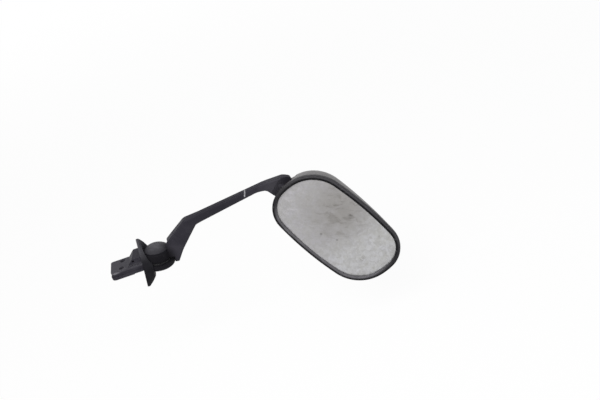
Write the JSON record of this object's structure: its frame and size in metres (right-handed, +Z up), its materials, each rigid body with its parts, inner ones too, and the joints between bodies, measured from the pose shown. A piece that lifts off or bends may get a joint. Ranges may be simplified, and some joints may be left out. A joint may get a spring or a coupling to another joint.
{
  "type": "scooter mirror",
  "caption": "Fairing-mounted scooter mirror: bolting tongue with a rubber gasket, folding dog-leg arm with a fishtail end, and a rounded mirror head on a clamped ball joint.",
  "frame": {"origin": "midway between the two bolt holes, on the underside of the tongue", "axes": "+X from the tongue out along the arm to the mirror head, +Z up out of the tongue, -Y the way the mirror glass faces"},
  "size_m": [0.3561, 0.0818, 0.1483],
  "materials": {
    "coated_casting": "satin black coat",
    "gasket_rubber": "matt moulded rubber",
    "cap_plastic": "satin",
    "plated_steel": "zinc plated",
    "nylon": "natural nylon",
    "black_nylon": "black nylon",
    "bracket_plastic": "glass filled, matt",
    "housing_paint": "grey metallic paint",
    "pad_foam": "closed-cell foam",
    "mirror_glass": "dusty convex mirror",
    "bezel_plastic": "satin black"
  },
  "bodies": {
    "base": {"base_casting": "coated_casting", "fairing_gasket": "gasket_rubber", "pivot_bolt": "plated_steel", "friction_washer": "black_nylon", "thrust_washer": "plated_steel", "disc_spring": "plated_steel", "pivot_nut": "plated_steel"},
    "arm": {"arm": "coated_casting", "pivot_cap": "cap_plastic", "ball_stud": "plated_steel", "stud_pin": "plated_steel"},
    "front_seat": {"front_seat": "nylon"},
    "rear_seat": {"rear_seat": "nylon"},
    "head": {"clamp_plate": "plated_steel", "clamp_screws": "plated_steel", "spring_washers": "plated_steel", "socket_bracket": "bracket_plastic", "bracket_screws": "plated_steel", "mirror_housing": "housing_paint", "glass_pad": "pad_foam", "mirror_glass": "mirror_glass", "mirror_bezel": "bezel_plastic"}
  },
  "joints": [
    {"name": "arm_fold", "type": "hinge", "parent": "base", "child": "arm", "pos_m": [0.046, 0, 0.0025], "axis": [0.1736, 0, 0.9848], "range_deg": [-75, 75]},
    {"name": "head_swing", "type": "hinge", "parent": "arm", "child": "front_seat", "pos_m": [0.24373, 0, 0.01302], "axis": [0.8163, -0.0098, 0.5775], "range_deg": [-8, 8]},
    {"name": "head_tilt", "type": "hinge", "parent": "front_seat", "child": "rear_seat", "pos_m": [0.24373, 0, 0.01302], "axis": [0.5599, -0.2319, -0.7954], "range_deg": [-8, 8]},
    {"name": "head_roll", "type": "hinge", "parent": "rear_seat", "child": "head", "pos_m": [0.24373, 0, 0.01302], "axis": [-0.1417, -0.9727, 0.1838], "range_deg": [-6, 6]}
  ]
}
